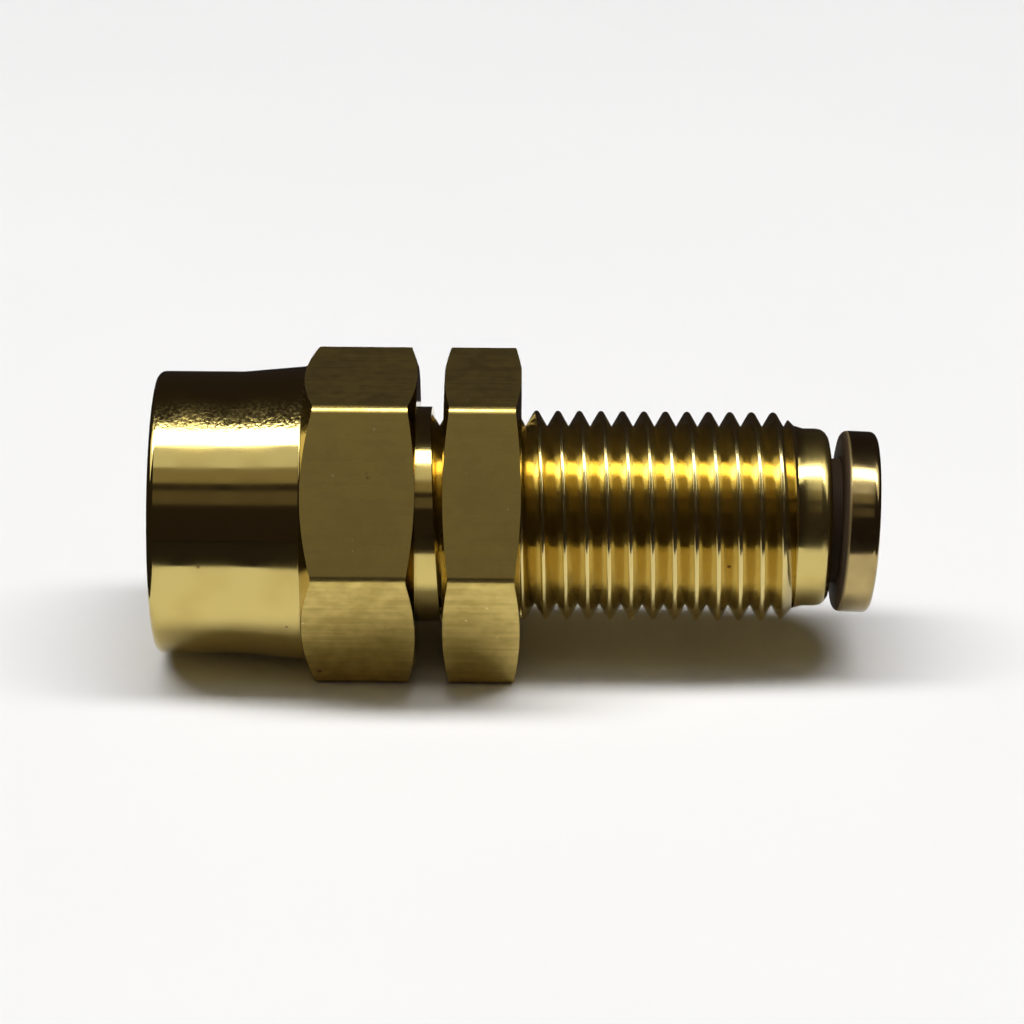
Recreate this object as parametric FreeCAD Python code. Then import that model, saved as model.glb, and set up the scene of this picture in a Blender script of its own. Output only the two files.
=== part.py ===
import FreeCAD, Part

import math
import os

# A brass push-in bulkhead connector, in millimetres.
# The turned axis is X: the female pipe port is at -X, the tube socket at +X, and Z is up.
# The origin is on that axis, in the plane of the hex shoulder that seats on the panel.

# Hex bar, shared by the body and the lock nut, which take the same spanner
hex_across_flats = 17.46
chamfer_inset = 0.06  # the corner chamfers start this far inside the flats

# Body, outside, from the port to the mouth of the tube socket
barrel_diameter = 16.66
barrel_length = 5.05
barrel_edge_break = 0.4
cone_length = 3.7
hex_length = 6.6
port_side_drop = 0.75  # how far the corners of the hex stay behind its face towards the port
seat_side_drop = 0.5  # the same, behind the face that seats on the panel
neck_diameter = 12.7
neck_length = 1.15
thread_diameter = 12.34
runout_diameter = 10.8
runout_length = 0.55
pilot_diameter = 10.48
pilot_length = 1.5
nose_round = 0.75  # radius of the nose, which is cut as short chamfers that follow it
nose_chamfers = 2
stem_length = 24.2  # from the hex shoulder to the mouth

# Body, female pipe port
port_drill_diameter = 11.11
port_mouth_diameter = 13.9
port_depth = 10.0
drill_point_angle = 118.0
flow_diameter = 4.0

# Plastic tube that the socket takes
tube_diameter = 6.35
tube_bore_diameter = 4.32
tube_clearance = 0.075
socket_depth = 4.3  # straight hole between the tube stop and the seal

# Seal and its groove
seal_width = 1.9
seal_height = 1.5  # from its lip's edge to its outside
seal_bite = 0.15  # how far the lip stands inside the tube's surface
seal_lip_edge = 0.3
seal_clearance = 0.02
groove_side_room = 0.4
rib_clearance = 0.27  # around the tube, in the rib between the groove and the collet
rib_thickness = 0.8

# Tube support, pressed into the bottom of the socket
support_clearance = 0.06
support_wall = 0.45
support_base_diameter = 5.2
support_base_length = 2.0
support_lead = 0.25
support_recess = 0.8  # its tip stays this far inside the mouth

# Release collet
sleeve_wall = 0.42
flange_diameter = 10.7
flange_thickness = 2.1
flange_edge_break = 0.35
flange_gap = 0.55  # between the mouth and the flange, at the axis
guide_clearance = 0.275
guide_depth = 1.9
guide_entry = 0.35
collet_reach = 5.2  # from the flange to the finger tips
head_height = 0.58
head_lead = 0.45
tooth_depth = 0.2
tooth_length = 1.1
slot_count = 4
slot_width = 0.5
slot_land = 0.9  # uncut sleeve beside the flange
collet_droop = 2.4  # degrees that the loose collet hangs nose down, about its finger tips

# Cavity and lip that hold the collet
lip_clearance = 0.28
lip_length = 0.8
cavity_clearance = 0.35
grip_angle = 25.0
grip_travel = 1.1  # how far the collet comes out before its heads meet the grip cone
tip_room = 1.05

# Lock nut
nut_gap = 0.42  # thread left bare between the neck and the nut
nut_thickness = 4.5
nut_corner_drop = 0.37
nut_thread_clearance = 0.06
nut_countersink = 0.4

# Construction margin, by which a blank or a cutter passes the surface that trims it
margin = 0.5

# Radii
corner_radius = hex_across_flats / math.sqrt(3)
chamfer_radius = hex_across_flats / 2 - chamfer_inset
neck_radius = neck_diameter / 2
thread_radius = thread_diameter / 2
runout_radius = runout_diameter / 2
pilot_radius = pilot_diameter / 2
port_radius = port_drill_diameter / 2
port_mouth_radius = port_mouth_diameter / 2
flow_radius = flow_diameter / 2
tube_radius = tube_diameter / 2
socket_radius = tube_radius + tube_clearance
seal_lip_radius = tube_radius - seal_bite
seal_radius = seal_lip_radius + seal_height
groove_radius = seal_radius + seal_clearance
rib_radius = tube_radius + rib_clearance
support_radius = tube_bore_diameter / 2 - support_clearance
support_bore_radius = support_radius - support_wall
support_base_radius = support_base_diameter / 2
guide_radius = tube_radius + guide_clearance
sleeve_radius = socket_radius + sleeve_wall
head_radius = sleeve_radius + head_height
flange_radius = flange_diameter / 2
lip_radius = sleeve_radius + lip_clearance
cavity_radius = head_radius + cavity_clearance

# Places along the axis, with the panel seat at zero
hex_start_x = -hex_length
cone_start_x = hex_start_x - cone_length
port_face_x = cone_start_x - barrel_length
port_floor_x = port_face_x + port_depth
mouth_x = stem_length
pilot_start_x = mouth_x - pilot_length
runout_start_x = pilot_start_x - runout_length
thread_end_x = runout_start_x - (thread_radius - runout_radius)
grip_slope = math.tan(math.radians(grip_angle))
lip_x = mouth_x - lip_length
grip_start_x = lip_x - (cavity_radius - lip_radius) / grip_slope
flange_x = mouth_x + flange_gap
flange_end_x = flange_x + flange_thickness
tip_x = flange_x - collet_reach
cavity_start_x = tip_x - tip_room
groove_end_x = cavity_start_x - rib_thickness
groove_start_x = groove_end_x - seal_width - groove_side_room
tube_stop_x = groove_start_x - socket_depth
support_seat_x = tube_stop_x - support_base_length
support_tip_x = mouth_x - support_recess
nut_start_x = neck_length + nut_gap
nut_end_x = nut_start_x + nut_thickness


def turned(corners):
    """A solid turned about X from the (x, radius) corners of its half section."""
    points = [FreeCAD.Vector(x, 0, radius) for x, radius in corners]
    face = Part.Face(Part.makePolygon(points + points[:1]))
    return face.revolve(FreeCAD.Vector(0, 0, 0), FreeCAD.Vector(1, 0, 0), 360)


def hex_bar(start_x, end_x):
    """A length of hex bar along X with flats above and below."""
    corners = []
    for k in range(6):
        angle = math.radians(60 * k)
        y = corner_radius * math.cos(angle)
        z = corner_radius * math.sin(angle)
        corners.append(FreeCAD.Vector(start_x, y, z))
    face = Part.Face(Part.makePolygon(corners + corners[:1]))
    return face.extrude(FreeCAD.Vector(end_x - start_x, 0, 0))


def chamfered_hex(start_x, end_x, start_drop, end_drop):
    """Turning corners that chamfer both ends of a hex, from the start's chamfer circle to the end's."""
    beyond = 1 + margin / (corner_radius - chamfer_radius)
    outside = corner_radius + margin
    return [
        (start_x, chamfer_radius),
        (start_x + start_drop * beyond, outside),
        (end_x - end_drop * beyond, outside),
        (end_x, chamfer_radius),
    ]


def rounded_nose(end_x, radius):
    """Corners of the short chamfers that round the edge where a cylinder meets its end face."""
    corners = []
    for k in range(nose_chamfers + 1):
        angle = math.radians(90 / nose_chamfers * k)
        x = end_x - nose_round * (1 - math.sin(angle))
        corners.append((x, radius - nose_round * (1 - math.cos(angle))))
    return corners


def body_outside():
    """The bar turned down to barrel, cone, neck, threaded stem and end ring, with the hex left standing."""
    barrel_radius = barrel_diameter / 2
    corners = [
        (port_face_x, 0),
        (port_face_x, barrel_radius - barrel_edge_break),
        (port_face_x + barrel_edge_break, barrel_radius),
        (cone_start_x, barrel_radius),
    ]
    corners += chamfered_hex(hex_start_x, 0, port_side_drop, seat_side_drop)
    corners += [
        (0, neck_radius),
        (neck_length, neck_radius),
        (neck_length, thread_radius),
        (thread_end_x, thread_radius),
        (runout_start_x, runout_radius),
        (pilot_start_x, pilot_radius),
    ]
    corners += rounded_nose(mouth_x, pilot_radius)
    corners.append((mouth_x, 0))
    return turned(corners).common(hex_bar(port_face_x - margin, mouth_x + margin))


def body_bore():
    """Everything hollow in the body: port, flow hole, tube socket, seal groove and collet cavity."""
    drill_slope = math.tan(math.radians(drill_point_angle / 2))
    corners = [
        (port_face_x - margin, 0),
        (port_face_x - margin, port_mouth_radius + margin),
        (port_face_x + port_mouth_radius - port_radius, port_radius),
        (port_floor_x, port_radius),
        (port_floor_x + (port_radius - flow_radius) / drill_slope, flow_radius),
        (support_seat_x, flow_radius),
        (support_seat_x, support_base_radius),
        (tube_stop_x, support_base_radius),
        (tube_stop_x, socket_radius),
        (groove_start_x, socket_radius),
        (groove_start_x, groove_radius),
        (groove_end_x, groove_radius),
        (groove_end_x, rib_radius),
        (cavity_start_x, rib_radius),
        (cavity_start_x, cavity_radius),
        (grip_start_x, cavity_radius),
        (lip_x, lip_radius),
        (mouth_x + margin, lip_radius),
        (mouth_x + margin, 0),
    ]
    return turned(corners)


def body():
    return body_outside().cut(body_bore())


def lock_nut():
    """A thin hex nut, chamfered on both faces, with its thread hole countersunk at both ends."""
    bore_radius = thread_radius + nut_thread_clearance
    blank = turned(
        [(nut_start_x, 0)]
        + chamfered_hex(nut_start_x, nut_end_x, nut_corner_drop, nut_corner_drop)
        + [(nut_end_x, 0)]
    ).common(hex_bar(nut_start_x - margin, nut_end_x + margin))
    sink = bore_radius + nut_countersink + margin
    hole = turned(
        [
            (nut_start_x - margin, 0),
            (nut_start_x - margin, sink),
            (nut_start_x + nut_countersink, bore_radius),
            (nut_end_x - nut_countersink, bore_radius),
            (nut_end_x + margin, sink),
            (nut_end_x + margin, 0),
        ]
    )
    return blank.cut(hole)


def collet_slots():
    """The cutter for the slots that split the sleeve into spring fingers, two slots to each blade."""
    slot_end_x = flange_x - slot_land
    reach = head_radius + margin
    blades = []
    for k in range(slot_count // 2):
        blade = Part.makeBox(
            slot_end_x - tip_x + margin,
            slot_width,
            2 * reach,
            FreeCAD.Vector(tip_x - margin, -slot_width / 2, -reach),
        )
        blade.rotate(FreeCAD.Vector(0, 0, 0), FreeCAD.Vector(1, 0, 0), 360 / slot_count * k)
        blades.append(blade)
    return blades[0].multiFuse(blades[1:])


def release_collet():
    """Flange, sleeve and barbed spring fingers in one piece, hanging nose down in its clearance.

    The tooth inside each finger tip has a ramp that lets the tube in and a steep face that holds it.
    """
    cam_end_x = lip_x - grip_travel + (lip_radius - sleeve_radius) / grip_slope
    cam_start_x = cam_end_x - head_height / grip_slope
    corners = [
        (flange_end_x, guide_radius + guide_entry),
        (flange_end_x, flange_radius - flange_edge_break),
        (flange_end_x - flange_edge_break, flange_radius),
        (flange_x + flange_edge_break, flange_radius),
        (flange_x, flange_radius - flange_edge_break),
        (flange_x, sleeve_radius),
        (cam_end_x, sleeve_radius),
        (cam_start_x, head_radius),
        (tip_x + head_lead, head_radius),
        (tip_x, head_radius - head_lead),
        (tip_x, socket_radius),
        (tip_x + head_lead, socket_radius),
        (tip_x + head_lead, socket_radius - tooth_depth),
        (tip_x + head_lead + tooth_length, socket_radius),
        (flange_end_x - guide_depth, socket_radius),
        (flange_end_x - guide_depth, guide_radius),
        (flange_end_x - guide_entry, guide_radius),
    ]
    collet = turned(corners).cut(collet_slots())
    collet.rotate(FreeCAD.Vector(tip_x, 0, 0), FreeCAD.Vector(0, 1, 0), collet_droop)
    return collet


def tube_seal():
    """The rubber ring in its groove, with a lip that leans on the tube."""
    start_x = groove_start_x + groove_side_room / 2
    end_x = start_x + seal_width
    return turned(
        [
            (start_x, seal_radius),
            (end_x, seal_radius),
            (end_x, rib_radius),
            (start_x + seal_lip_edge, seal_lip_radius),
            (start_x, seal_lip_radius + seal_lip_edge),
        ]
    )


def tube_support():
    """The liner inside the tube, with a thicker base pressed in below the tube stop."""
    return turned(
        [
            (support_seat_x, support_bore_radius),
            (support_seat_x, support_base_radius - support_lead),
            (support_seat_x + support_lead, support_base_radius),
            (tube_stop_x, support_base_radius),
            (tube_stop_x, support_radius),
            (support_tip_x - support_lead, support_radius),
            (support_tip_x, support_radius - support_lead),
            (support_tip_x, support_bore_radius),
        ]
    )


pieces = {
    "body": body(),
    "lock_nut": lock_nut(),
    "release_collet": release_collet(),
    "tube_seal": tube_seal(),
    "tube_support": tube_support(),
}

os.makedirs("parts", exist_ok=True)
for name, shape in pieces.items():
    shape.exportStep(f"parts/{name}.step")
    print(name, len(shape.Solids), "solid", round(shape.Volume, 2), "mm3")
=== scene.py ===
# %% [markdown]
# # Dressing a brass bulkhead connector
# The real fitting is turned from hexagonal brass bar, with a lock nut on its threaded stem and a loose
# release collet in its tube socket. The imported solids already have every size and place, but their threads
# are plain cylinders and their edges are sharp. This lesson rebuilds each piece in the same frame, in metres,
# with X along the turned axis and Z up, and then gives it a finish, a table, lamps and a camera.

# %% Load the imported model
import math

import bmesh
import bpy
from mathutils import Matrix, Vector


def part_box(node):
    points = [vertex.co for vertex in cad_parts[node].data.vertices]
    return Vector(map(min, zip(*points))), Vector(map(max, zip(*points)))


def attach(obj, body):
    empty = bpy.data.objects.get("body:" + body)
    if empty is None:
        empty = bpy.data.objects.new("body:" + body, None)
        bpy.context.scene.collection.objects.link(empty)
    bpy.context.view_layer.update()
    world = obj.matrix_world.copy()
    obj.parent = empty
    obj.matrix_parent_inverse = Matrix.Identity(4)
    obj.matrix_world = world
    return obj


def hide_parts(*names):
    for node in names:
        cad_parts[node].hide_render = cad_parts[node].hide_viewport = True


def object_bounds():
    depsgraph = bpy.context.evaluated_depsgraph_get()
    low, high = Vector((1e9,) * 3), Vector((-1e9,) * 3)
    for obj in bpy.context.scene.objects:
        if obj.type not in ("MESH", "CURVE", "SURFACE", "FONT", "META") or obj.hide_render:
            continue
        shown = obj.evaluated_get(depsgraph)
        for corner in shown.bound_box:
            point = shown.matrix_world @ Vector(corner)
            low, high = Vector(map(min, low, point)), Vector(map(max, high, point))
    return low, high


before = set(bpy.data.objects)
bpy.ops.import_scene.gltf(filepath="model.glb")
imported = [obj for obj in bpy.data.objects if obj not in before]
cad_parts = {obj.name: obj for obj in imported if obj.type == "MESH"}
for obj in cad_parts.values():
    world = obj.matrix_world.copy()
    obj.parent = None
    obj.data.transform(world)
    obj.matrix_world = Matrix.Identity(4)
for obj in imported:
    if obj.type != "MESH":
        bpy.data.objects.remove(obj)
cad_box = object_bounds()
MM = 0.001
print("packed nodes:", sorted(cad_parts))

# %% [markdown]
# Every piece here came off a lathe, so each one starts as half of its section. A small plane is collapsed to
# one vertex, the vertex is extruded from corner to corner, and the closed outline is spun about the X axis.
# Drawing the outline first keeps every turned edge in one place. A vertex bevel then breaks the corners,
# because no turned edge is perfectly sharp and the thin bright lines along the edges are what makes
# metal look real.

# %% Helpers that draw an outline and spin it
SPIN_STEPS = 192
ROUND_SEGMENTS = 4
SAME_PLACE = 0.0005 * MM


def select_only(piece, kind, wanted):
    """In edit mode, select the vertices, edges or faces that pass a test, and nothing else."""
    bpy.ops.mesh.select_mode(type=kind)
    bpy.ops.mesh.select_all(action="DESELECT")
    mesh = bmesh.from_edit_mesh(piece.data)
    elements = {"VERT": mesh.verts, "EDGE": mesh.edges, "FACE": mesh.faces}[kind]
    for element in elements:
        if wanted(element):
            element.select_set(True)
    bmesh.update_edit_mesh(piece.data)


def draw_line(name, points):
    """A new object with a chain of edges through (x, radius) points in millimetres, left in edit mode."""
    bpy.ops.object.select_all(action="DESELECT")
    bpy.ops.mesh.primitive_plane_add(size=MM)
    piece = bpy.context.object
    piece.name = name
    piece.data.name = name
    bpy.ops.object.mode_set(mode="EDIT")
    bpy.ops.mesh.select_mode(type="VERT")
    bpy.ops.mesh.select_all(action="SELECT")
    bpy.ops.mesh.merge(type="CENTER")
    places = [Vector((point[0], 0, point[1])) * MM for point in points]
    bpy.ops.transform.translate(value=places[0])
    for here, there in zip(places, places[1:]):
        bpy.ops.mesh.extrude_region_move(TRANSFORM_OT_translate={"value": there - here})
    return piece


def round_corners(piece, points):
    """Bevel each corner that has a third number, which is how far back the rounding starts."""
    for point in points:
        if len(point) == 3:
            place = Vector((point[0], 0, point[1])) * MM
            select_only(piece, "VERT", lambda vertex: (vertex.co - place).length < SAME_PLACE)
            bpy.ops.mesh.bevel(offset=point[2] * MM, segments=ROUND_SEGMENTS, affect="VERTICES")


def turned(name, points):
    """A ring-shaped solid spun about X from a closed outline of (x, radius[, rounding]) corners."""
    piece = draw_line(name, points)
    bpy.ops.mesh.select_all(action="SELECT")
    bpy.ops.mesh.edge_face_add()
    round_corners(piece, points)
    bpy.ops.mesh.select_all(action="SELECT")
    bpy.ops.mesh.delete(type="ONLY_FACE")
    bpy.ops.mesh.select_all(action="SELECT")
    bpy.ops.mesh.spin(steps=SPIN_STEPS, angle=math.tau, center=(0, 0, 0), axis=(1, 0, 0))
    bpy.ops.mesh.select_all(action="SELECT")
    bpy.ops.mesh.remove_doubles(threshold=SAME_PLACE)
    bpy.ops.mesh.normals_make_consistent(inside=False)
    bpy.ops.object.mode_set(mode="OBJECT")
    return piece


print("outlines are spun in", SPIN_STEPS, "steps")

# %% [markdown]
# The hexes of the body and the nut are what is left of the drawn bar. A six-sided cylinder is the natural
# start. Turned to lie along X it has flats above and below, as the fitting lies on the table. Drawn bar has
# slightly round long edges, so those six edges are bevelled.

# %% Helper that makes a length of hex bar
HEX_SIDES = 6
HEX_ACROSS_FLATS = 17.46
HEX_EDGE_ROUND = 0.36
HEX_EDGE_SEGMENTS = 6
HEX_CORNER_RADIUS = HEX_ACROSS_FLATS / math.sqrt(3)


def hex_bar(start_x, end_x):
    """A length of bar along X, with corners at +Y and -Y and round long edges."""
    bpy.ops.object.select_all(action="DESELECT")
    bpy.ops.mesh.primitive_cylinder_add(
        vertices=HEX_SIDES,
        radius=HEX_CORNER_RADIUS * MM,
        depth=(end_x - start_x) * MM,
        location=((start_x + end_x) / 2 * MM, 0, 0),
        rotation=(0, math.radians(90), 0),
    )
    bar = bpy.context.object
    bpy.ops.object.transform_apply(location=True, rotation=True, scale=True)
    bpy.ops.object.mode_set(mode="EDIT")
    select_only(bar, "EDGE", lambda edge: abs(edge.verts[0].co.x - edge.verts[1].co.x) > SAME_PLACE)
    bpy.ops.mesh.bevel(offset=HEX_EDGE_ROUND * MM, segments=HEX_EDGE_SEGMENTS, affect="EDGES")
    bpy.ops.object.mode_set(mode="OBJECT")
    return bar


print("hex corner radius", round(HEX_CORNER_RADIUS, 2), "mm")

# %% [markdown]
# A thread could be a bump pattern, but its teeth show on the outline, and light bounces three times between
# their flanks, which is why real brass threads look more golden than plain turned brass. So it is modelled:
# one tooth is drawn from root to root with flanks at 60 degrees and a narrow rounded crest, and the Screw
# modifier winds it along X, right-handed. The result is a threaded rod that can be kept as a stem or used
# as a tap.

# %% Helper that winds a threaded rod
WIND_STEPS = 120
FLANK_SLOPE = math.tan(math.radians(30))
CREST_ROUND = 0.095


def threaded_rod(pitch, root_radius, crest_radius, start_x, turns, crest_angle):
    """A rod along X whose crest passes start_x + pitch / 2 at that angle, in degrees from +Y towards +Z."""
    flank = (crest_radius - root_radius) * FLANK_SLOPE
    tooth = [
        (start_x, root_radius),
        (start_x + flank, crest_radius, CREST_ROUND),
        (start_x + pitch - flank, crest_radius, CREST_ROUND),
        (start_x + pitch, root_radius),
    ]
    rod = draw_line("threaded_rod", tooth)
    round_corners(rod, tooth)
    turn = math.radians(crest_angle - 90)
    bpy.ops.object.mode_set(mode="OBJECT")
    rod.rotation_euler.x = turn
    bpy.ops.object.transform_apply(rotation=True)
    wind = rod.modifiers.new("wind", "SCREW")
    wind.axis = "X"
    wind.screw_offset = pitch * MM
    wind.iterations = turns
    wind.steps = WIND_STEPS
    wind.render_steps = WIND_STEPS
    wind.use_merge_vertices = True
    wind.merge_threshold = SAME_PLACE
    bpy.ops.object.modifier_apply(modifier=wind.name)
    bpy.ops.object.mode_set(mode="EDIT")
    bpy.ops.mesh.select_all(action="SELECT")
    bpy.ops.mesh.remove_doubles(threshold=SAME_PLACE)
    half_way = (start_x + pitch * (turns + 1) / 2) * MM
    for end in (-1, 1):
        select_only(
            rod, "EDGE", lambda edge: edge.is_boundary and (edge.verts[0].co.x - half_way) * end > 0
        )
        bpy.ops.mesh.extrude_region_move()
        bpy.ops.mesh.merge(type="CENTER")
    bpy.ops.mesh.select_all(action="SELECT")
    bpy.ops.mesh.normals_make_consistent(inside=False)
    bpy.ops.object.mode_set(mode="OBJECT")
    return rod


print("threads are wound in", WIND_STEPS, "steps a turn")

# %% [markdown]
# The lathe, the die and the tap all take metal away, and the Boolean modifier does the same to a mesh.
# Intersect keeps what a bar and an outline share, Difference cuts a thread into a hole. The tool is thrown
# away after each cut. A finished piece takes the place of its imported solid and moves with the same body.

# %% Helpers that cut and finish a piece
SMOOTH_ANGLE = math.radians(28)


def combine(piece, tool, operation):
    """Apply one Boolean between a piece and a tool, and throw the tool away."""
    change = piece.modifiers.new("combine", "BOOLEAN")
    change.operation = operation
    change.solver = "EXACT"
    change.object = tool
    bpy.ops.object.select_all(action="DESELECT")
    piece.select_set(True)
    bpy.context.view_layer.objects.active = piece
    bpy.ops.object.modifier_apply(modifier=change.name)
    bpy.data.objects.remove(tool)
    return piece


def stand_in(piece, node, body):
    """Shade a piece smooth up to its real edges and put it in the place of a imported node."""
    bpy.ops.object.select_all(action="DESELECT")
    piece.select_set(True)
    bpy.context.view_layer.objects.active = piece
    bpy.ops.object.shade_smooth_by_angle(angle=SMOOTH_ANGLE)
    weigh = piece.modifiers.new("weigh", "WEIGHTED_NORMAL")
    weigh.keep_sharp = True
    bpy.ops.object.modifier_apply(modifier=weigh.name)
    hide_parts(node)
    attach(piece, body)
    triangles = sum(len(face.vertices) - 2 for face in piece.data.polygons)
    low, high = (Vector(corner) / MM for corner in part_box(node))
    xs = [vertex.co.x / MM for vertex in piece.data.vertices]
    print(piece.name, triangles, "triangles, x", round(min(xs), 2), round(max(xs), 2),
          "packed", round(low.x, 2), round(high.x, 2))


# %% [markdown]
# The body is one piece of bar: a female port in a plain barrel, a cone up to the hex, a neck that goes
# through the panel, a threaded stem, and an end ring that guards the tube socket. Its outline goes round the
# outside from the port to the mouth, and back through the bores. The port's thread is a pipe thread of 18
# to the inch, and the stem's is a fine one of 20 to the inch.

# %% Sizes of the body, in millimetres
EDGE_BREAK = 0.07
CHAMFER_BITE = 0.06
CHAMFER_RADIUS = HEX_ACROSS_FLATS / 2 - CHAMFER_BITE
OUTLINE_SPARE = 0.5
OUTSIDE_BAR = HEX_CORNER_RADIUS + OUTLINE_SPARE
TOOL_SPARE = 1
HEX_LENGTH = 6.6
PORT_SIDE_DROP = 0.75
SEAT_SIDE_DROP = 0.5
CONE_START = -10.3
PORT_FACE = -15.35
BARREL_RADIUS = 8.33
BARREL_ROUND = 0.45
NECK_RADIUS = 6.35
NECK_END = 1.15
NECK_SLANT = 0.35
STEM_PITCH = 1.27
STEM_RADIUS = 6.17
STEM_ROOT_RADIUS = 5.24
RUNOUT_START = 22.15
RUNOUT_RADIUS = 5.4
PILOT_START = 22.7
PILOT_RADIUS = 5.24
PILOT_ROUND = 0.75
MOUTH = 24.2
PORT_PITCH = 25.4 / 18
PORT_RADIUS = 5.555
PORT_TAP_RADIUS = 6.4
TAP_OVERLAP = 0.02
PORT_MOUTH_RADIUS = 6.95
PORT_FLOOR = -5.35
FLOW_RADIUS = 2.0
DRILL_SLOPE = math.tan(math.radians(59))


def hex_chamfers(start_x, end_x, start_drop, end_drop):
    """Outline corners that turn both ends of a hex down to a chamfer circle."""
    beyond = (OUTSIDE_BAR - CHAMFER_RADIUS) / (HEX_CORNER_RADIUS - CHAMFER_RADIUS)
    return [
        (start_x, CHAMFER_RADIUS, EDGE_BREAK),
        (start_x + start_drop * beyond, OUTSIDE_BAR),
        (end_x - end_drop * beyond, OUTSIDE_BAR),
        (end_x, CHAMFER_RADIUS, EDGE_BREAK),
    ]


# %% Outline of the body
SOCKET_RADIUS = 3.25
SUPPORT_BASE_RADIUS = 2.6
SUPPORT_SEAT = 9.1
TUBE_STOP = 11.1
GROOVE_START = 15.4
GROOVE_END = 17.7
GROOVE_RADIUS = 4.545
RIB_RADIUS = 3.445
CAVITY_START = 18.5
CAVITY_RADIUS = 4.6
GRIP_START = 22.006
LIP = 23.4
LIP_RADIUS = 3.95

outside = [
    (PORT_FACE, PORT_MOUTH_RADIUS, EDGE_BREAK),
    (PORT_FACE, BARREL_RADIUS, BARREL_ROUND),
    (CONE_START, BARREL_RADIUS),
    *hex_chamfers(-HEX_LENGTH, 0, PORT_SIDE_DROP, SEAT_SIDE_DROP),
    (0, NECK_RADIUS),
    (NECK_END + NECK_SLANT, NECK_RADIUS),
    (NECK_END + NECK_SLANT, STEM_RADIUS),
    (RUNOUT_START - STEM_RADIUS + RUNOUT_RADIUS, STEM_RADIUS),
    (RUNOUT_START, RUNOUT_RADIUS),
    (PILOT_START, PILOT_RADIUS),
    (MOUTH, PILOT_RADIUS, PILOT_ROUND),
]
inside = [
    (MOUTH, LIP_RADIUS, EDGE_BREAK),
    (LIP, LIP_RADIUS),
    (GRIP_START, CAVITY_RADIUS),
    (CAVITY_START, CAVITY_RADIUS),
    (CAVITY_START, RIB_RADIUS, EDGE_BREAK),
    (GROOVE_END, RIB_RADIUS, EDGE_BREAK),
    (GROOVE_END, GROOVE_RADIUS),
    (GROOVE_START, GROOVE_RADIUS),
    (GROOVE_START, SOCKET_RADIUS, EDGE_BREAK),
    (TUBE_STOP, SOCKET_RADIUS),
    (TUBE_STOP, SUPPORT_BASE_RADIUS),
    (SUPPORT_SEAT, SUPPORT_BASE_RADIUS),
    (SUPPORT_SEAT, FLOW_RADIUS),
    (PORT_FLOOR + (PORT_RADIUS - FLOW_RADIUS) / DRILL_SLOPE, FLOW_RADIUS),
    (PORT_FLOOR, PORT_RADIUS),
    (PORT_FACE + PORT_MOUTH_RADIUS - PORT_RADIUS, PORT_RADIUS),
]
print("body outline:", len(outside) + len(inside), "corners")

# %% [markdown]
# The stem is wound first. One of its crests is set to the place where the photograph shows it, and the tooth
# starts six and a half pitches before that. The bar ends at the neck with a slight slant, so the thread runs
# out against it on one side first, and a second length of bar stands for the end ring. The spun outline then
# keeps what it shares with all of them, and the tap cuts the port.

# %% Build the body
STEM_CREST_ANGLE = 67
STEM_CREST = 6.956
PITCHES_BEFORE = 6.5
STEM_TURNS = 20
PORT_CREST_ANGLE = 0
PORT_TURNS = 6

first_tooth = STEM_CREST - PITCHES_BEFORE * STEM_PITCH
stem = threaded_rod(STEM_PITCH, STEM_ROOT_RADIUS, STEM_RADIUS, first_tooth, STEM_TURNS, STEM_CREST_ANGLE)
stock = hex_bar(PORT_FACE - TOOL_SPARE, NECK_END)
bpy.ops.object.mode_set(mode="EDIT")
select_only(stock, "VERT", lambda vertex: vertex.co.x > 0)
slant = math.atan(NECK_SLANT / NECK_RADIUS)
bpy.ops.transform.rotate(value=slant, orient_axis="Y", center_override=(NECK_END * MM, 0, 0))
bpy.ops.object.mode_set(mode="OBJECT")
bar = combine(stock, stem, "UNION")
combine(bar, hex_bar(RUNOUT_START, MOUTH + TOOL_SPARE), "UNION")
body = turned("body_shell", outside + inside)
combine(body, bar, "INTERSECT")
port_tap_start = PORT_FACE - TOOL_SPARE
port_tap = threaded_rod(
    PORT_PITCH, PORT_RADIUS - TAP_OVERLAP, PORT_TAP_RADIUS, port_tap_start, PORT_TURNS, PORT_CREST_ANGLE
)
combine(body, port_tap, "DIFFERENCE")
stand_in(body, "body", "fitting")

# %% [markdown]
# The lock nut is cut from the same bar. It clamps the panel against the hex shoulder. Both of its faces are
# chamfered, so its corners end in the curved edges that a cone leaves on a hex. Its thread is cut outwards
# from a hole that just clears the stem, so the nut can slide along the stem in any pose.

# %% Build the lock nut
NUT_START = 1.57
NUT_END = 6.07
NUT_CORNER_DROP = 0.37
NUT_BORE_RADIUS = 6.23
NUT_TAP_RADIUS = 6.85
NUT_TURNS = 7
NUT_COUNTERSINK = 0.4

nut_outline = hex_chamfers(NUT_START, NUT_END, NUT_CORNER_DROP, NUT_CORNER_DROP) + [
    (NUT_END, NUT_BORE_RADIUS + NUT_COUNTERSINK, EDGE_BREAK),
    (NUT_END - NUT_COUNTERSINK, NUT_BORE_RADIUS),
    (NUT_START + NUT_COUNTERSINK, NUT_BORE_RADIUS),
    (NUT_START, NUT_BORE_RADIUS + NUT_COUNTERSINK, EDGE_BREAK),
]
nut = turned("lock_nut_shell", nut_outline)
combine(nut, hex_bar(NUT_START - TOOL_SPARE, NUT_END + TOOL_SPARE), "INTERSECT")
nut_tap_start = NUT_START - 2 * TOOL_SPARE
nut_tap = threaded_rod(
    STEM_PITCH, NUT_BORE_RADIUS - TAP_OVERLAP, NUT_TAP_RADIUS, nut_tap_start, NUT_TURNS, STEM_CREST_ANGLE
)
combine(nut, nut_tap, "DIFFERENCE")
stand_in(nut, "lock_nut", "nut")

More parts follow.
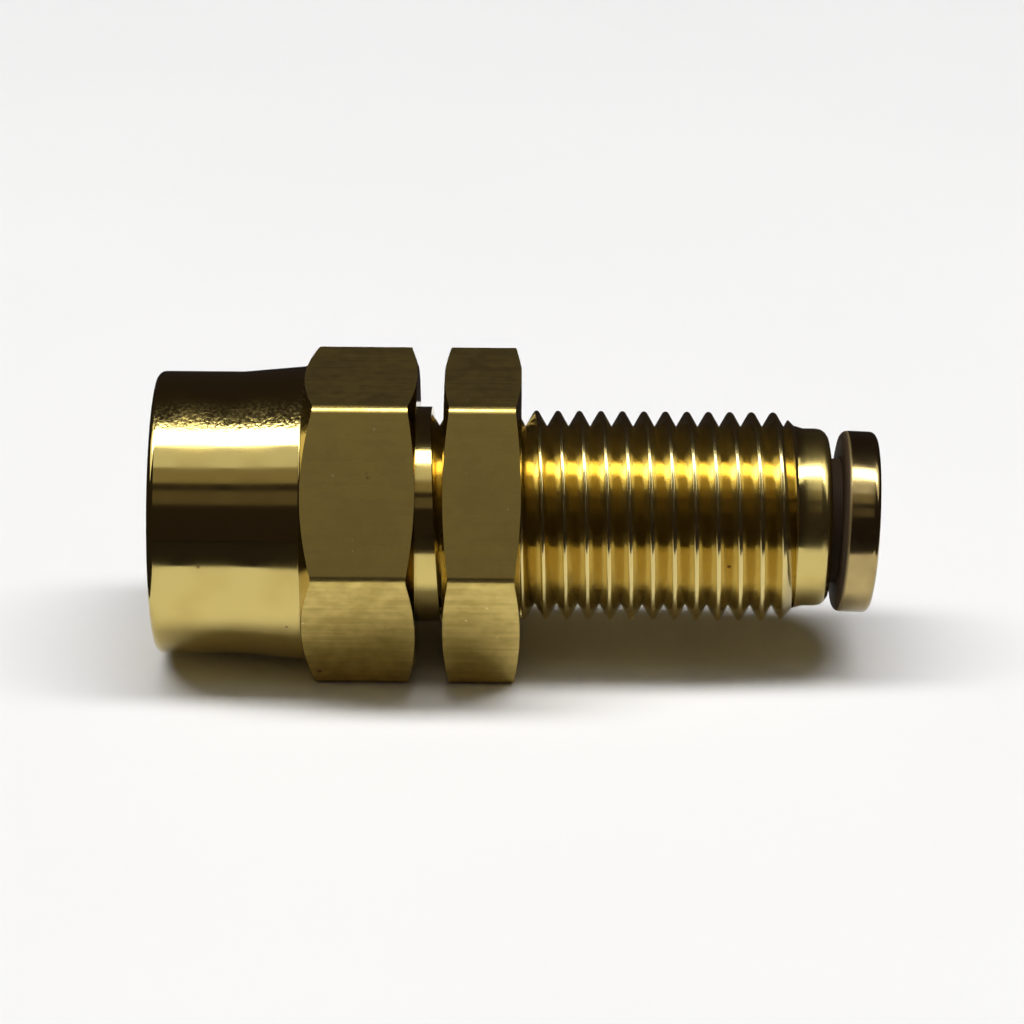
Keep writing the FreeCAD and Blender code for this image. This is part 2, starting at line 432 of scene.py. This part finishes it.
# %% [markdown]
# The release collet is a flange on a thin sleeve. Four slots split the sleeve into spring fingers with barbs
# that hold the tube. It is loose in the socket, so its flange hangs a little nose down. The outline is spun
# on the axis, the slots are cut by thin blades, and the whole piece is then turned about its finger tips.

# %% Build the release collet
FLANGE_START = 24.75
FLANGE_END = 26.85
FLANGE_RADIUS = 5.35
FLANGE_ROUND = 0.4
SLEEVE_RADIUS = 3.67
GUIDE_RADIUS = 3.45
GUIDE_DEPTH = 1.9
GUIDE_ENTRY = 0.35
CAM_START = 21.657
CAM_END = 22.9
HEAD_RADIUS = 4.25
HEAD_LEAD = 0.45
TIP = 19.55
TOOTH_DEPTH = 0.2
TOOTH_LENGTH = 1.1
SLOT_COUNT = 4
SLOT_WIDTH = 0.5
SLOT_END = 23.85
DROOP = math.radians(2.4)

collet_outline = [
    (FLANGE_END, GUIDE_RADIUS + GUIDE_ENTRY, EDGE_BREAK),
    (FLANGE_END, FLANGE_RADIUS, FLANGE_ROUND),
    (FLANGE_START, FLANGE_RADIUS, FLANGE_ROUND),
    (FLANGE_START, SLEEVE_RADIUS),
    (CAM_END, SLEEVE_RADIUS),
    (CAM_START, HEAD_RADIUS, EDGE_BREAK),
    (TIP + HEAD_LEAD, HEAD_RADIUS, EDGE_BREAK),
    (TIP, HEAD_RADIUS - HEAD_LEAD, EDGE_BREAK),
    (TIP, SOCKET_RADIUS),
    (TIP + HEAD_LEAD, SOCKET_RADIUS),
    (TIP + HEAD_LEAD, SOCKET_RADIUS - TOOTH_DEPTH),
    (TIP + HEAD_LEAD + TOOTH_LENGTH, SOCKET_RADIUS),
    (FLANGE_END - GUIDE_DEPTH, SOCKET_RADIUS),
    (FLANGE_END - GUIDE_DEPTH, GUIDE_RADIUS),
    (FLANGE_END - GUIDE_ENTRY, GUIDE_RADIUS),
]


def slot_blade(angle):
    """A thin blade through the axis that cuts two slots, one on each side."""
    bpy.ops.object.select_all(action="DESELECT")
    bpy.ops.mesh.primitive_cube_add(
        size=MM,
        location=((TIP - TOOL_SPARE + SLOT_END) / 2 * MM, 0, 0),
        rotation=(angle, 0, 0),
        scale=(SLOT_END - TIP + TOOL_SPARE, SLOT_WIDTH, 2 * HEAD_RADIUS + TOOL_SPARE),
    )
    bpy.ops.object.transform_apply(location=True, rotation=True, scale=True)
    return bpy.context.object


collet = turned("release_collet_shell", collet_outline)
for k in range(SLOT_COUNT // 2):
    combine(collet, slot_blade(math.tau / SLOT_COUNT * k), "DIFFERENCE")
bpy.ops.object.mode_set(mode="EDIT")
bpy.ops.mesh.select_all(action="SELECT")
bpy.ops.transform.rotate(value=-DROOP, orient_axis="Y", center_override=(TIP * MM, 0, 0))
bpy.ops.object.mode_set(mode="OBJECT")
stand_in(collet, "release_collet", "collet")

# %% [markdown]
# Two more pieces sit deep in the socket. The tube support is a thin brass liner that keeps the plastic tube
# round, and the seal is a ring of rubber with a lip. They are small outlines spun like the rest, with a
# larger rounding on the soft rubber.

# %% Build the tube support and the seal
SUPPORT_RADIUS = 2.1
SUPPORT_BORE_RADIUS = 1.65
SUPPORT_TIP = 23.4
SUPPORT_LEAD = 0.25
SEAL_START = 15.6
SEAL_END = 17.5
SEAL_RADIUS = 4.525
SEAL_LIP_RADIUS = 3.025
SEAL_EDGE = 0.3
RUBBER_ROUND = 0.12

support = turned("tube_support_shell", [
    (SUPPORT_SEAT, SUPPORT_BORE_RADIUS, EDGE_BREAK),
    (SUPPORT_SEAT, SUPPORT_BASE_RADIUS - SUPPORT_LEAD),
    (SUPPORT_SEAT + SUPPORT_LEAD, SUPPORT_BASE_RADIUS),
    (TUBE_STOP, SUPPORT_BASE_RADIUS, EDGE_BREAK),
    (TUBE_STOP, SUPPORT_RADIUS),
    (SUPPORT_TIP - SUPPORT_LEAD, SUPPORT_RADIUS, EDGE_BREAK),
    (SUPPORT_TIP, SUPPORT_RADIUS - SUPPORT_LEAD, EDGE_BREAK),
    (SUPPORT_TIP, SUPPORT_BORE_RADIUS, EDGE_BREAK),
])
stand_in(support, "tube_support", "fitting")

seal = turned("tube_seal_shell", [
    (SEAL_START, SEAL_RADIUS, RUBBER_ROUND),
    (SEAL_END, SEAL_RADIUS, RUBBER_ROUND),
    (SEAL_END, RIB_RADIUS, RUBBER_ROUND),
    (SEAL_START + SEAL_EDGE, SEAL_LIP_RADIUS, RUBBER_ROUND),
    (SEAL_START, SEAL_LIP_RADIUS + SEAL_EDGE, RUBBER_ROUND),
])
stand_in(seal, "tube_seal", "fitting")

# %% [markdown]
# Bare metal has no paint. Its colour is the tint of its reflections, so Metallic is 1, and the look comes
# from that tint, from how blurred the reflections are and from small marks. All patterns read Object
# coordinates, turned into millimetres, so they stay where they are on the piece in every pose. A few helpers
# keep the node code short: one adds a node with its inputs set or linked, and one starts a node group, which
# holds an effect that several finishes share.

# %% Helpers that add shader nodes
def add_node(tree, kind, inputs=None, **settings):
    """Add a shader node with these settings, and set or link each of its named inputs."""
    node = tree.nodes.new("ShaderNode" + kind)
    for setting, value in settings.items():
        setattr(node, setting, value)
    for socket, value in (inputs or {}).items():
        if isinstance(value, bpy.types.NodeSocket):
            tree.links.new(value, node.inputs[socket])
        else:
            node.inputs[socket].default_value = value
    return node


def new_group(name, numbers, output):
    """Start a node group that takes a place and some numbers, and gives one number from 0 to 1."""
    tree = bpy.data.node_groups.new(name, "ShaderNodeTree")
    tree.interface.new_socket("Place", in_out="INPUT", socket_type="NodeSocketVector")
    for number in numbers:
        tree.interface.new_socket(number, in_out="INPUT", socket_type="NodeSocketFloat")
    tree.interface.new_socket(output, in_out="OUTPUT", socket_type="NodeSocketFloat")
    return tree, tree.nodes.new("NodeGroupInput").outputs, tree.nodes.new("NodeGroupOutput").inputs


def stretched(tree, value, low, high, bottom=0.0, top=1.0):
    """Map a value that runs from low to high onto the range from bottom to top."""
    limits = {"From Min": low, "From Max": high, "To Min": bottom, "To Max": top}
    return add_node(tree, "MapRange", {"Value": value, **limits}).outputs["Result"]


def combined(tree, operation, first, second):
    """The sum, product or other Math result of two numbers or sockets."""
    return add_node(tree, "Math", {0: first, 1: second}, operation=operation).outputs[0]


def radius_of(tree, place):
    """The distance of a place from the X axis."""
    across = add_node(tree, "VectorMath", {0: place, 1: (0, 1, 1)}, operation="MULTIPLY")
    return add_node(tree, "VectorMath", {0: across.outputs["Vector"]}, operation="LENGTH").outputs["Value"]


# %% [markdown]
# A lathe leaves fine grooves round the axis, and on a face across the axis they become rings. One noise that
# runs along x plus the distance from the axis gives both, and on a thread it follows the flanks. Drawing a
# bar through its die leaves lines along the bar instead, so that noise is stretched along x.

# %% Node groups for turning marks and drawn lines
NOISE_LOW = 0.3
NOISE_HIGH = 0.7
LINE_STRETCH = 20

turning_marks, given, wanted = new_group("turning_marks", ["Fineness"], "Height")
along = add_node(turning_marks, "SeparateXYZ", {"Vector": given["Place"]})
path = combined(turning_marks, "ADD", along.outputs["X"], radius_of(turning_marks, given["Place"]))
grooves = add_node(turning_marks, "TexNoise", noise_dimensions="1D")
turning_marks.links.new(path, grooves.inputs["W"])
turning_marks.links.new(given["Fineness"], grooves.inputs["Scale"])
height = stretched(turning_marks, grooves.outputs["Fac"], NOISE_LOW, NOISE_HIGH)
turning_marks.links.new(height, wanted["Height"])

drawn_lines, given, wanted = new_group("drawn_lines", ["Fineness"], "Height")
squeeze = {0: given["Place"], 1: (1 / LINE_STRETCH, 1, 1)}
pulled = add_node(drawn_lines, "VectorMath", squeeze, operation="MULTIPLY")
lines = add_node(drawn_lines, "TexNoise", {"Vector": pulled.outputs["Vector"], "Scale": given["Fineness"]})
height = stretched(drawn_lines, lines.outputs["Fac"], NOISE_LOW, NOISE_HIGH)
drawn_lines.links.new(height, wanted["Height"])
print("marks:", turning_marks.name, drawn_lines.name)

# %% [markdown]
# Fingers and coolant leave cloudy stains, and a few small dark specks of tarnish lie about. The stains are a
# soft noise. The specks are cells of a Voronoi pattern: most cells stay empty, and the rest hold one dot.

# %% Node groups for stains and specks
STAIN_DETAIL = 1.5
SPECK_SHARE = 0.12
SPECK_CORE = 0.5

stains, given, wanted = new_group("stains", ["Fineness"], "Mask")
soft = {"Vector": given["Place"], "Scale": given["Fineness"], "Detail": STAIN_DETAIL}
clouds = add_node(stains, "TexNoise", soft)
stains.links.new(stretched(stains, clouds.outputs["Fac"], NOISE_LOW, NOISE_HIGH), wanted["Mask"])

specks, given, wanted = new_group("specks", ["Fineness", "Size"], "Mask")
cells = add_node(specks, "TexVoronoi", {"Vector": given["Place"], "Scale": given["Fineness"]})
chance = add_node(specks, "SeparateColor", {"Color": cells.outputs["Color"]})
chosen = combined(specks, "LESS_THAN", chance.outputs["Red"], SPECK_SHARE)
near = combined(specks, "DIVIDE", cells.outputs["Distance"], given["Size"])
dot = stretched(specks, near, SPECK_CORE, 1.0, 1.0, 0.0)
specks.links.new(combined(specks, "MULTIPLY", dot, chosen), wanted["Mask"])
print("stains and specks:", stains.name, specks.name)

# %% [markdown]
# Each finish starts from a Principled shader and the place on the piece. Small helpers mix two colours by a
# mask and turn a height into a bump, which is measured in thousandths of a millimetre.

# %% Helpers that every finish uses
TARNISH = (0.27, 0.16, 0.06, 1)
MICRON = 0.001 * MM


def new_finish(name, metallic):
    """A new material, its node tree, its shader and the place in millimetres that its patterns read."""
    material = bpy.data.materials.new(name)
    material.use_nodes = True
    tree = material.node_tree
    shader = tree.nodes["Principled BSDF"]
    shader.inputs["Metallic"].default_value = metallic
    metres = add_node(tree, "TexCoord").outputs["Object"]
    place = add_node(tree, "VectorMath", {0: metres, "Scale": 1 / MM}, operation="SCALE")
    return material, tree, shader, place.outputs["Vector"]


def pattern(tree, group, place, **numbers):
    """Place a node group in a finish and return what it gives."""
    return add_node(tree, "Group", {"Place": place, **numbers}, node_tree=group).outputs[0]


def mixed(tree, mask, first, second):
    """A colour that goes from the first to the second with a mask."""
    return add_node(tree, "Mix", {0: mask, 6: first, 7: second}, data_type="RGBA").outputs[2]


def bumped(tree, height, microns, under=None):
    """A normal bent by a height of so many microns, on top of an earlier bump."""
    inputs = {"Height": height, "Distance": microns * MICRON}
    if under:
        inputs["Normal"] = under
    return add_node(tree, "Bump", inputs).outputs["Normal"]


# %% [markdown]
# Turned brass is nearly a mirror, a little cloudy where it was handled and duller on the end ring. The barrel
# has a scuffed band along its upper front, where small dents catch the lamp and fray the edge of its long
# reflection. The band is found by the angle round the axis. Its dents are a noise about a fifth of a
# millimetre across, which bends the surface and blurs it too.

# %% Turned brass
BRASS = (0.60, 0.475, 0.16, 1)
BRASS_HANDLED = (0.54, 0.415, 0.13, 1)
BRASS_BLUR = (0.07, 0.15)
HANDLED_FROM = 0.4
RING_BLUR = 0.1
SCUFF_MIDDLE = math.radians(64)
SCUFF_HALF = math.radians(12)
SCUFF_BLUR = 0.12
SCUFF_DEPTH = 6
TURNING_DEPTH = 0.25


def scuffs(tree, place):
    """Dents in a band of the barrel, as a height that is nought outside the band."""
    axes = add_node(tree, "SeparateXYZ", {"Vector": place})
    front = combined(tree, "MULTIPLY", axes.outputs["Y"], -1.0)
    angle = combined(tree, "ARCTAN2", axes.outputs["Z"], front)
    apart = combined(tree, "SUBTRACT", angle, SCUFF_MIDDLE)
    band = stretched(tree, combined(tree, "ABSOLUTE", apart, 0.0), SCUFF_HALF, SCUFF_HALF / 3)
    on_barrel = combined(tree, "LESS_THAN", axes.outputs["X"], -HEX_LENGTH)
    dents = pattern(tree, stains, place, Fineness=5)
    return combined(tree, "MULTIPLY", combined(tree, "MULTIPLY", band, on_barrel), dents)


def make_turned_brass():
    """Bright turned metal, with scuffs on the barrel and a duller end ring."""
    material, tree, shader, place = new_finish("turned_brass", 1)
    cloud = pattern(tree, stains, place, Fineness=0.35)
    speck = pattern(tree, specks, place, Fineness=0.8, Size=0.1)
    handled = mixed(tree, stretched(tree, cloud, HANDLED_FROM, 1), BRASS, BRASS_HANDLED)
    tree.links.new(mixed(tree, speck, handled, TARNISH), shader.inputs["Base Color"])
    along = add_node(tree, "SeparateXYZ", {"Vector": place}).outputs["X"]
    dulled = stretched(tree, along, RUNOUT_START, PILOT_START, 0, RING_BLUR)
    scuffed = scuffs(tree, place)
    frosted = stretched(tree, scuffed, 0, 1, 0, SCUFF_BLUR)
    clean = stretched(tree, cloud, 0, 1, *BRASS_BLUR)
    blur = combined(tree, "ADD", clean, combined(tree, "ADD", dulled, frosted))
    tree.links.new(blur, shader.inputs["Roughness"])
    marks = bumped(tree, pattern(tree, turning_marks, place, Fineness=9), TURNING_DEPTH)
    tree.links.new(bumped(tree, scuffed, SCUFF_DEPTH, marks), shader.inputs["Normal"])
    return material


# %% [markdown]
# The hex flats are bar as it was drawn: duller, slightly browner and streaked along the bar, with stains,
# dark specks and a few bright nicks. The streaks change both the tint and the blur, and a low bump spreads
# reflections across them. The blur stays above 0.28 everywhere: the denoiser takes a sharper surface for a
# mirror, and where a pattern crosses that limit its edge shows as grain.

# %% Drawn brass
DRAWN = (0.66, 0.51, 0.16, 1)
DRAWN_STREAK = (0.49, 0.365, 0.1, 1)
NICK = (0.85, 0.72, 0.35, 1)
DRAWN_BLUR = (0.285, 0.36)
LINE_DEPTH = 0.2
WEAR_LOW = 0.8
WEAR_HIGH = 2.2


def make_drawn_brass():
    """Bar as it was drawn, streaked, stained and nicked."""
    material, tree, shader, place = new_finish("drawn_brass", 1)
    line = pattern(tree, drawn_lines, place, Fineness=3)
    cloud = pattern(tree, stains, place, Fineness=1.4)
    speck = pattern(tree, specks, place, Fineness=0.7, Size=0.12)
    nick = pattern(tree, specks, place, Fineness=1.7, Size=0.14)
    patch = pattern(tree, stains, place, Fineness=0.4)
    marks = combined(tree, "ADD", combined(tree, "ADD", line, cloud), patch)
    wear = stretched(tree, marks, WEAR_LOW, WEAR_HIGH)
    streaked = mixed(tree, wear, DRAWN, DRAWN_STREAK)
    nicked = mixed(tree, nick, streaked, NICK)
    tree.links.new(mixed(tree, speck, nicked, TARNISH), shader.inputs["Base Color"])
    tree.links.new(stretched(tree, wear, 0, 1, *DRAWN_BLUR), shader.inputs["Roughness"])
    tree.links.new(bumped(tree, line, LINE_DEPTH), shader.inputs["Normal"])
    return material


# %% [markdown]
# The thread was cut last and is the cleanest metal, so its tint is lighter. Light that bounces three times
# between the flanks is tinted three times, and that gives the deep gold in the valleys. The die left fine
# streaks along the flanks, which blur the bands a little.

# %% Cut brass
CUT = (0.67, 0.545, 0.225, 1)
CUT_STREAK = (0.61, 0.485, 0.18, 1)
CUT_BLUR = (0.14, 0.23)
STREAK_DEPTH = 0.3


def make_cut_brass():
    """Freshly cut metal, streaked along the thread."""
    material, tree, shader, place = new_finish("cut_brass", 1)
    streak = pattern(tree, turning_marks, place, Fineness=14)
    cloud = pattern(tree, stains, place, Fineness=1.2)
    speck = pattern(tree, specks, place, Fineness=1.1, Size=0.12)
    wear = combined(tree, "MULTIPLY", streak, cloud)
    streaked = mixed(tree, wear, CUT, CUT_STREAK)
    tree.links.new(mixed(tree, speck, streaked, TARNISH), shader.inputs["Base Color"])
    tree.links.new(stretched(tree, wear, 0, 1, *CUT_BLUR), shader.inputs["Roughness"])
    tree.links.new(bumped(tree, streak, STREAK_DEPTH), shader.inputs["Normal"])
    return material


# %% [markdown]
# The collet and the tube support are turned from a darker and redder brass, with a more even shine than the
# body. Behind its flange the outside of the collet's sleeve lies deep in the gap between the end ring and the
# flange, and the shade there is painted in: a dark, dull colour that is not metal, which also covers the back
# of the flange. The mask that puts this painted shade there also turns Metallic down. It follows the collet's
# own tilted axis. The seal is black rubber with a faint mottling, and it shows only from the mouth.

# %% Collet brass and rubber
COLLET = (0.46, 0.35, 0.145, 1)
COLLET_HANDLED = (0.35, 0.26, 0.105, 1)
# painted shade: a dark colour that stands in for the shade in the gap behind the flange
SLEEVE_PAINTED_SHADE = (0.045, 0.028, 0.016, 1)
RUBBER = (0.016, 0.016, 0.017, 1)
RUBBER_DUSTY = (0.035, 0.034, 0.032, 1)
COLLET_BLUR = (0.12, 0.19)
SLEEVE_SHADE_BLUR = 0.5
SLEEVE_SHADE_SHEEN = 0.1
COLLET_DEPTH = 0.2
RUBBER_BLUR = (0.45, 0.65)
RUBBER_DEPTH = 2


def sleeve_shade_mask(tree, place):
    """Where shade is painted: one on the outside of the sleeve behind the flange and on the back of the
    flange, nought on the rest of the flange and in the bore.
    """
    turn = {"Vector": place, "Center": (TIP, 0, 0), "Angle": -DROOP}
    level = add_node(tree, "VectorRotate", turn, rotation_type="Y_AXIS").outputs["Vector"]
    along = add_node(tree, "SeparateXYZ", {"Vector": level}).outputs["X"]
    behind = stretched(tree, along, FLANGE_START + FLANGE_ROUND, FLANGE_START + FLANGE_ROUND / 2)
    outside = stretched(tree, radius_of(tree, level), GUIDE_RADIUS, SLEEVE_RADIUS)
    return combined(tree, "MULTIPLY", behind, outside)


def make_collet_brass():
    """Even turned metal, with painted shade on the outside of the sleeve."""
    material, tree, shader, place = new_finish("collet_brass", 1)
    shader.inputs["Specular IOR Level"].default_value = SLEEVE_SHADE_SHEEN
    cloud = pattern(tree, stains, place, Fineness=0.7)
    # painted shade behind the flange: dark, dull and not metal
    sleeve_shade = sleeve_shade_mask(tree, place)
    polished = mixed(tree, cloud, COLLET, COLLET_HANDLED)
    tree.links.new(mixed(tree, sleeve_shade, polished, SLEEVE_PAINTED_SHADE), shader.inputs["Base Color"])
    shine = stretched(tree, cloud, 0, 1, *COLLET_BLUR)
    dull = stretched(tree, sleeve_shade, 0, 1, 0, SLEEVE_SHADE_BLUR)
    tree.links.new(combined(tree, "ADD", shine, dull), shader.inputs["Roughness"])
    tree.links.new(stretched(tree, sleeve_shade, 0, 1, 1, 0), shader.inputs["Metallic"])
    marks = pattern(tree, turning_marks, place, Fineness=8)
    tree.links.new(bumped(tree, marks, COLLET_DEPTH), shader.inputs["Normal"])
    return material


def make_rubber():
    """Black rubber with a fine grain."""
    material, tree, shader, place = new_finish("rubber", 0)
    cloud = pattern(tree, stains, place, Fineness=1.5)
    grain = pattern(tree, stains, place, Fineness=12)
    tree.links.new(mixed(tree, cloud, RUBBER, RUBBER_DUSTY), shader.inputs["Base Color"])
    tree.links.new(stretched(tree, cloud, 0, 1, *RUBBER_BLUR), shader.inputs["Roughness"])
    tree.links.new(bumped(tree, grain, RUBBER_DEPTH), shader.inputs["Normal"])
    return material


# %% [markdown]
# One piece can carry several finishes, because each face has a material index. The faces are sorted by
# place: hex flats lie furthest out and face away from the axis, and thread faces lie between a root and
# a crest.

# %% Give each face its finish
FLAT_SLACK = 0.02
FLAT_LIMIT = HEX_ACROSS_FLATS / 2 - FLAT_SLACK
LEVEL_LIMIT = 0.05
TURNED_INDEX, DRAWN_INDEX, CUT_INDEX = range(3)


def bar_finish(x, radius, normal):
    """Which finish a face of the body or the nut has."""
    if radius > FLAT_LIMIT and abs(normal.x) < LEVEL_LIMIT:
        return DRAWN_INDEX
    on_stem = x > NECK_END and RUNOUT_RADIUS + TAP_OVERLAP < radius < NUT_TAP_RADIUS
    in_port = x < PORT_FLOOR and PORT_RADIUS - TAP_OVERLAP < radius < PORT_TAP_RADIUS
    return CUT_INDEX if on_stem or in_port else TURNED_INDEX


bar_finishes = [make_turned_brass(), make_drawn_brass(), make_cut_brass()]
for piece in (body, nut):
    for material in bar_finishes:
        piece.data.materials.append(material)
    for face in piece.data.polygons:
        x, y, z = face.center / MM
        face.material_index = bar_finish(x, math.hypot(y, z), face.normal)

collet_brass = make_collet_brass()
for piece in (collet, support):
    piece.data.materials.append(collet_brass)
seal.data.materials.append(make_rubber())
print("finishes:", [material.name for material in bar_finishes], collet_brass.name)

# %% [markdown]
# The fitting lies on its hex flats on a pale table, which fills the lower half of every reflection in it. In
# the photograph that white ends a little way off on every side: a long dark band along the barrel shows it,
# and so do the dark tops of the thread. Four black cards that leave a white patch round the fitting paint
# that darkness into reflections only: they are hidden from the camera, from shadows and from diffuse light,
# so the table under them stays white and lit.

# %% Table and dark cards
TABLE_SIZE = 3.0
TABLE_WHITE = (0.9, 0.9, 0.9, 1)
# black that paints dark reflections only, where the table is white and lit
PAINTED_DARK_REFLECTION = (0.022, 0.018, 0.018, 1)
MATT_BLUR = 0.9
MATT_FADE = 0.98
PATCH_LEFT = -24 * MM
PATCH_RIGHT = 45 * MM
PATCH_FRONT = -30 * MM
PATCH_BACK = 40 * MM
CARD_LIFT = 0.2 * MM
table_z = cad_box[0][2]


def matt(name, colour):
    """A dull finish for the surroundings, with a faint cloudiness."""
    material, tree, shader, place = new_finish(name, 0)
    shader.inputs["Roughness"].default_value = MATT_BLUR
    shader.inputs["Specular IOR Level"].default_value = 0
    cloud = pattern(tree, stains, place, Fineness=0.02)
    faded = tuple(MATT_FADE * channel for channel in colour[:3]) + (1,)
    tree.links.new(mixed(tree, cloud, colour, faded), shader.inputs["Base Color"])
    return material


def sheet(name, left, right, front, back, z, material):
    """A flat stage piece between two x and two y places."""
    bpy.ops.object.select_all(action="DESELECT")
    bpy.ops.mesh.primitive_plane_add(size=1, location=((left + right) / 2, (front + back) / 2, z))
    piece = bpy.context.object
    piece.name = name
    piece.scale = (right - left, back - front, 1)
    bpy.ops.object.transform_apply(location=True, scale=True)
    piece.data.materials.append(material)
    return piece


half = TABLE_SIZE / 2
painted_dark_reflection_finish = matt("painted_dark_reflection_finish", PAINTED_DARK_REFLECTION)
sheet("table", -half, half, -half, half, table_z, matt("table_white", TABLE_WHITE))
card_places = {
    "front_card": (-half, half, -half, PATCH_FRONT),
    "back_card": (-half, half, PATCH_BACK, half),
    "left_card": (-half, PATCH_LEFT, PATCH_FRONT, PATCH_BACK),
    "right_card": (PATCH_RIGHT, half, PATCH_FRONT, PATCH_BACK),
}
# painted dark reflections: these cards show only in reflections
for name, place in card_places.items():
    card = sheet(name, *place, table_z + CARD_LIFT, painted_dark_reflection_finish)
    card.visible_camera = False
    card.visible_shadow = False
    card.visible_diffuse = False
print("table at z", round(table_z / MM, 2), "mm")

# %% [markdown]
# Polished brass is a mirror, so what it shows is the room: on the fitting each lamp becomes a long band, and
# the bands tell where the lamps were. A bright strip hangs over the fitting, and three dimmer soft boxes lean
# over from the front, the lower two warmer. Each of these is placed by the angles between which the fitting
# sees it. Two more stand at the ends, where only chamfers and thread flanks see them, and they are kept off
# the table, so that they don't fill the shadow.

# %% Lamps
MIDDLE_X = 5.5 * MM
WHITE = (1, 1, 1)
WARM = (1, 0.87, 0.62)
ROOM = (0.024, 0.018, 0.018, 1)
STRIP_AWAY = 0.9
STRIP_LENGTH = 1.5
FILL_AWAY = 1.0
FILL_LENGTH = 0.7
END_BOX_SIZE = 0.6
END_BOX_AWAY = 0.7
END_BOX_RADIANCE = 1.5


def soft_box(name, low, high, distance, length, radiance, tint=WHITE):
    """A lamp along X that fills the angles from low to high, in degrees up from the front horizon."""
    middle = math.radians((low + high) / 2)
    light = bpy.data.lights.new(name, "AREA")
    light.shape = "RECTANGLE"
    light.size = length
    light.size_y = 2 * distance * math.tan(math.radians(high - low) / 2)
    light.energy = radiance * math.pi * light.size * light.size_y
    light.color = tint
    holder = bpy.data.objects.new(name, light)
    bpy.context.scene.collection.objects.link(holder)
    holder.location = (MIDDLE_X, -distance * math.cos(middle), distance * math.sin(middle))
    holder.rotation_euler = (math.radians(90) - middle, 0, 0)
    print(name, "from", low, "to", high, "degrees, radiance", radiance)


def end_box(name, side, radiance):
    """A square lamp at one end of the fitting, half way up, that faces it."""
    light = bpy.data.lights.new(name, "AREA")
    light.size = END_BOX_SIZE
    light.energy = radiance * math.pi * light.size ** 2
    holder = bpy.data.objects.new(name, light)
    bpy.context.scene.collection.objects.link(holder)
    holder.location = (side * END_BOX_AWAY, 0, END_BOX_AWAY)
    holder.rotation_euler = (0, side * math.radians(45), 0)
    holder.visible_diffuse = False
    print(name, "radiance", radiance)


soft_box("top_strip", low=78, high=94, distance=STRIP_AWAY, length=STRIP_LENGTH, radiance=9.4)
soft_box("upper_fill", low=59, high=78, distance=FILL_AWAY, length=FILL_LENGTH, radiance=0.8)
soft_box("lower_fill", low=46, high=59, distance=FILL_AWAY, length=FILL_LENGTH, radiance=0.27, tint=WARM)
soft_box("low_fill", low=29, high=40, distance=FILL_AWAY, length=FILL_LENGTH, radiance=0.10, tint=WARM)
end_box("port_end_box", side=-1, radiance=END_BOX_RADIANCE)
end_box("tube_end_box", side=1, radiance=END_BOX_RADIANCE)
world = bpy.data.worlds.new("studio")
bpy.context.scene.world = world
world.use_nodes = True
world.node_tree.nodes["Background"].inputs["Color"].default_value = ROOM

# %% [markdown]
# The camera looks from the front and a little above, square to the axis, with a slight roll. It stands as far
# off as the perspective of the two hexes asks for, and the lens is worked out from the width of the view.

# %% Camera
ELEVATION = math.radians(23)
DISTANCE = 0.2248
FIELD = 0.0606
ROLL = math.radians(0.47)
AIM_X = 5.56 * MM
AIM_UP = 0.148 * MM

camera_data = bpy.data.cameras.new("photo_camera")
camera_data.lens = camera_data.sensor_width * DISTANCE / FIELD
camera = bpy.data.objects.new("photo_camera", camera_data)
bpy.context.scene.collection.objects.link(camera)
up = Vector((0, math.sin(ELEVATION), math.cos(ELEVATION)))
toward = Vector((0, -math.cos(ELEVATION), math.sin(ELEVATION)))
camera.location = Vector((AIM_X, 0, 0)) + up * AIM_UP + toward * DISTANCE
camera.rotation_mode = "ZYX"
camera.rotation_euler = (math.radians(90) - ELEVATION, 0, ROLL)
bpy.context.scene.camera = camera
bpy.context.scene.view_settings.view_transform = "Standard"
print("lens", round(camera_data.lens, 1), "mm")
